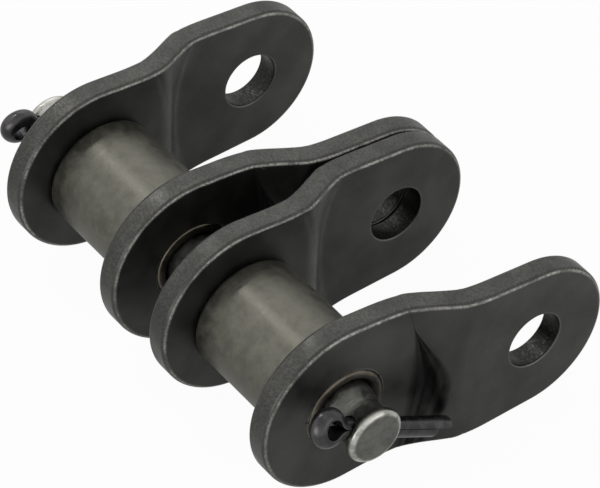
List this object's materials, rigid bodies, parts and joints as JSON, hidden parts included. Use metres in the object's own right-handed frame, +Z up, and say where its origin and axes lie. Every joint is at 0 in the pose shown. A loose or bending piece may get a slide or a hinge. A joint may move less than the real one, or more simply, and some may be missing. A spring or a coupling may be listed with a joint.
{
  "type": "roller chain offset connecting link",
  "caption": "Two-strand cranked chain link: paired offset side plates, bushed rollers and a long cross-drilled pin held by a cotter at each end.",
  "frame": {"origin": "on the pin and bush axis, midway between the two strands", "axes": "+X from the bush axis to the open pin holes, +Y along the pin to the rear strand, +Z up"},
  "size_m": [0.0709, 0.1014, 0.035],
  "materials": {
    "plate_steel": "dark oxide, satin",
    "bush_steel": "oiled, satin",
    "roller_steel": "heat-treated, satin",
    "pin_steel": "ground, worn bright at the ends",
    "cotter_steel": "dark drawn wire"
  },
  "bodies": {
    "rear_strand": {"rear_outer_plate": "plate_steel", "rear_middle_plate": "plate_steel", "rear_bush": "bush_steel"},
    "front_strand": {"front_middle_plate": "plate_steel", "front_outer_plate": "plate_steel", "front_bush": "bush_steel"},
    "rear_roller_body": {"rear_roller": "roller_steel"},
    "front_roller_body": {"front_roller": "roller_steel"},
    "pin_body": {"connecting_pin": "pin_steel", "front_cotter": "cotter_steel", "rear_cotter": "cotter_steel"}
  },
  "joints": [
    {"name": "front_strand_turn", "type": "hinge", "parent": "rear_strand", "child": "front_strand", "pos_m": [0, 0, 0], "axis": [0, -1, 0], "continuous": true},
    {"name": "rear_roller_turn", "type": "hinge", "parent": "rear_strand", "child": "rear_roller_body", "pos_m": [0, 0.02272, 0], "axis": [0, 1, 0], "continuous": true},
    {"name": "front_roller_turn", "type": "hinge", "parent": "front_strand", "child": "front_roller_body", "pos_m": [0, -0.02272, 0], "axis": [0, 1, 0], "continuous": true},
    {"name": "pin_turn", "type": "hinge", "parent": "front_strand", "child": "pin_body", "pos_m": [0, 0, 0], "axis": [0, 1, 0], "range_deg": [0, 305]}
  ]
}
